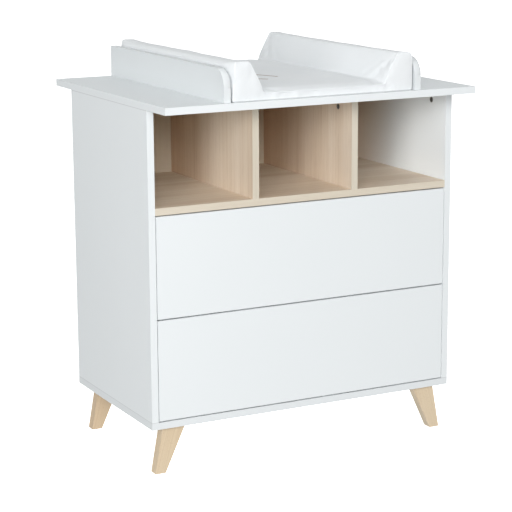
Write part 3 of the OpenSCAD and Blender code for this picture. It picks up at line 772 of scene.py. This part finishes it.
def make_mat():
    """The mat's cover and its two seams, in place of the CAD's simple solid."""
    mesh = build_mat_mesh()
    piece = bpy.data.objects.new("changing_mat_cover", mesh)
    bpy.context.scene.collection.objects.link(piece)
    around = sum(len(line) - 1 for line in mat_outline())
    inflate(piece, np.r_[0:HELD_ROWS * around, (ROWS - HELD_ROWS) * around:ROWS * around])
    loops = [range(k * around, (k + 1) * around) for k in (SEAM_ROW, ROWS - 1 - SEAM_ROW)]
    seams = [[piece.data.vertices[i].co.copy() for i in loop] for loop in loops]
    piece.modifiers.new("smooth", "SUBSURF").levels = 1
    finer = evaluated_copy(piece)
    piece.modifiers.clear()
    old = piece.data
    piece.data = finer
    bpy.data.meshes.remove(old)
    finer.name = "changing_mat_cover"
    piece.vertex_groups.clear()
    wrinkle(piece)
    for polygon in piece.data.polygons:
        polygon.use_smooth = True
    cover = mat_cover()
    piece.data.materials.clear()
    piece.data.materials.append(cover)
    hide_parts("changing_mat")
    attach(piece, "mat")
    for name, points in zip(("mat_seam_front", "mat_seam_back"), seams):
        make_seam(name, points, cover)


def make_seam(name, points, material):
    """Thin raised seam round an end face."""
    curve = bpy.data.curves.new(name, "CURVE")
    curve.dimensions = "3D"
    curve.bevel_depth = SEAM_RADIUS
    curve.bevel_resolution = 2
    line = curve.splines.new("POLY")
    line.points.add(len(points) - 1)
    for target, point in zip(line.points, points):
        target.co = (*point, 1)
    line.use_cyclic_u = True
    piece = bpy.data.objects.new(name, curve)
    bpy.context.scene.collection.objects.link(piece)
    curve.materials.append(material)
    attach(piece, "mat")


# ---- the CAD nodes -----------------------------------------------------------------------------

def soften(node, width, segments=2):
    """Rounds a node's edges a little, as on the real part."""
    piece = NODES[node]
    weld = piece.modifiers.new("weld", "WELD")
    weld.merge_threshold = 0.01 * MM
    bevel = piece.modifiers.new("bevel", "BEVEL")
    bevel.width = width
    bevel.segments = segments
    bevel.limit_method = "ANGLE"
    bevel.angle_limit = math.radians(50)
    bevel.harden_normals = True


def dress(node, material):
    """Gives a CAD node one material."""
    for slot in NODES[node].material_slots:
        slot.material = material


BOARDS = {
    # node: uncoated faces as (what, axis, way), or None
    "bottom_panel": ("chipboard", Y, 1),
    "side_panel_left": ("chipboard", Y, 1),
    "side_panel_right": ("chipboard", Y, 1),
    "lower_back_panel": ("hardboard", Y, 1),
    "top_board": None,
    "rail_left": None,
    "rail_right": None,
}
for drawer in ("upper_drawer_", "lower_drawer_"):
    BOARDS[drawer + "front"] = None
    BOARDS[drawer + "side_left"] = ("chipboard", Z, -1)
    BOARDS[drawer + "side_right"] = ("chipboard", Z, -1)
    BOARDS[drawer + "back"] = ("chipboard", Z, -1)
    BOARDS[drawer + "base"] = ("hardboard", Z, -1)
OAK = {
    # node: (grain axis, uncoated faces)
    "shelf_panel": (X, None),
    "divider_left": (Z, None),
    "divider_right": (Z, None),
    "cubby_back_panel": (Z, ("hardboard", Y, 1)),
}
OAK_TINTS = {
    # these and the legs' tints stand for the light in the photograph
    "cubby_back_panel": (1.20, 1.16, 1.07),
    "shelf_panel": (1.06, 1.10, 1.12),
    "divider_left": (0.94, 0.98, 1.0),
    "divider_right": (0.94, 0.98, 1.0),
}
LEG_TINTS = {
    "leg_front_left": NO_TINT,
    "leg_front_right": NO_TINT,
    "leg_rear_left": (0.92, 0.87, 0.83),
    "leg_rear_right": (0.97, 0.94, 0.91),
}
LEG_LEAN = math.radians(16)         # the grain follows the legs
BOARD_EDGE, DECOR_EDGE, LEG_EDGE, PLASTIC_EDGE = 0.7 * MM, 0.6 * MM, 1.2 * MM, 0.6 * MM


def dress_all():
    """Gives every CAD node its material, and rounds the edges that show."""
    for node, raw in BOARDS.items():
        dress(node, white_board(node, raw))
        if "back_panel" not in node and "base" not in node:
            soften(node, BOARD_EDGE)
    for seed, (node, (grain, raw)) in enumerate(OAK.items(), 1):
        dress(node, oak_board(node, grain, seed * 2.37, raw, OAK_TINTS[node]))
        if "back_panel" not in node:
            soften(node, DECOR_EDGE)
    for seed, (node, tint) in enumerate(LEG_TINTS.items(), 1):
        lean = LEG_LEAN if node.endswith("right") else -LEG_LEAN
        dress(node, beech(node, seed * 1.9, lean, tint))
        soften(node, LEG_EDGE, 3)
    dress("wood_dowels", beech("wood_dowels", 9.0))
    by_slot = {
        "zinc_alloy": metal("zinc_alloy", *ZINC_TONES, 0.42, 0.62),
        "zinc_plated_steel": metal(
            "zinc_plated_steel", *STEEL_TONES, 0.24, 0.40, grain=(90.0, 9.0, 90.0),
        ),
        "grey_plastic": plastic("grey_plastic", GREY_PLASTIC, 0.5),
        "white_plastic": plastic("white_plastic", WHITE_PLASTIC, 0.45),
    }
    for row in frame["record"]["subparts"]:
        if row["material_slot"] in by_slot:
            dress(row["node"], by_slot[row["material_slot"]])
    for node in NODES:
        if node.startswith("push_latch"):
            soften(node, PLASTIC_EDGE)


# ---- light, floor and background ---------------------------------------------------------------

LOBES = (
    # direction that the light comes from, and its colour
    ((1, 0, 0), rgb(0.64, 0.64, 0.64)),
    ((0, 1, 0), rgb(0.78, 0.80, 0.80)),
    ((0, 0, 1), rgb(0.725, 0.735, 0.74)),
    ((0, 0, -1), rgb(0.87, 0.865, 0.86)),
)


def make_world():
    """Soft studio surround. Each lobe lights one side, and fades with the squared cosine."""
    world = bpy.data.worlds.new("studio")
    bpy.context.scene.world = world
    world.use_nodes = True
    tree = Tree(world.node_tree)
    direction = tree.tree.nodes.new("ShaderNodeTexCoord").outputs["Generated"]
    total = grey(0.0)
    for side, colour in LOBES:
        towards = tree.add(
            "ShaderNodeVectorMath", {0: direction, 1: side}, output=1, operation="DOT_PRODUCT",
        )
        towards = tree.math("MAXIMUM", towards, 0.0)
        level = tree.math("MULTIPLY", towards, towards)
        lobe = tree.mix(level, grey(0.0), colour)
        total = tree.mix(1.0, total, lobe, "ADD")
    background = tree.add("ShaderNodeBackground", {"Color": total, "Strength": 1.0})
    tree.finish("ShaderNodeOutputWorld", background)


LIGHTS = {
    # name: degrees round from the front to the left, degrees up, diameter, light on the chest
    "key": (50, 6, 3.4, 1.15),
    "fill": (35, 15, 4.0, 1.27),
    "high_fill": (20, 22, 4.0, 0.97),
}
LIGHT_DISTANCE = 9.0
LIGHT_AIM = (0, 0, 0.5)
STAGE_TONES = grey(0.8), grey(0.81)
DOME_RADIUS = 30                    # the floor reaches a little further


def make_lights():
    """Large round soft boxes, all in front and to the left of the chest."""
    for name, (around, up, size, level) in LIGHTS.items():
        data = bpy.data.lights.new(name, "AREA")
        data.shape = "DISK"
        data.size = size
        data.energy = level * math.pi * LIGHT_DISTANCE ** 2
        light = bpy.data.objects.new(name, data)
        bpy.context.scene.collection.objects.link(light)
        around, up = math.radians(around), math.radians(up)
        away = Vector((
            -math.sin(around) * math.cos(up), -math.cos(around) * math.cos(up), math.sin(up),
        ))
        light.location = Vector(LIGHT_AIM) + LIGHT_DISTANCE * away
        light.rotation_euler = (-away).to_track_quat("-Z", "Y").to_euler()
        light.visible_camera = False


def make_floor():
    """Plain pale floor inside a wide pale dome. Both are luminous, and seen by the camera only,
    so they read as the photograph's white and light nothing."""
    def stage(name, mesh):
        data = bpy.data.meshes.new(name)
        mesh.to_mesh(data)
        mesh.free()
        piece = bpy.data.objects.new(name, data)
        bpy.context.scene.collection.objects.link(piece)
        material, tree = new_material(name)
        place, _ = tree.coordinates()
        cloud = tree.noise(place, 1.5, 2.0)
        finish_material(
            tree, tree.mix(tree.fit(cloud, 0.3, 0.7), *STAGE_TONES),
            tree.fit(cloud, 0.3, 0.7, 0.9, 0.95),
            Emission_Color=grey(1.0), Emission_Strength=1.0, Specular_IOR_Level=0.0,
        )
        data.materials.append(material)
        piece.visible_diffuse = piece.visible_glossy = piece.visible_shadow = False

    plane, dome = bmesh.new(), bmesh.new()
    bmesh.ops.create_grid(plane, x_segments=2, y_segments=2, size=DOME_RADIUS + 2)
    stage("floor", plane)
    bmesh.ops.create_icosphere(dome, subdivisions=4, radius=DOME_RADIUS)
    stage("backdrop", dome)


make_camera()
make_world()
make_lights()
make_floor()
dress_all()
make_mat()
bpy.context.scene.view_settings.view_transform = "Standard"
bpy.context.scene.view_settings.look = "None"
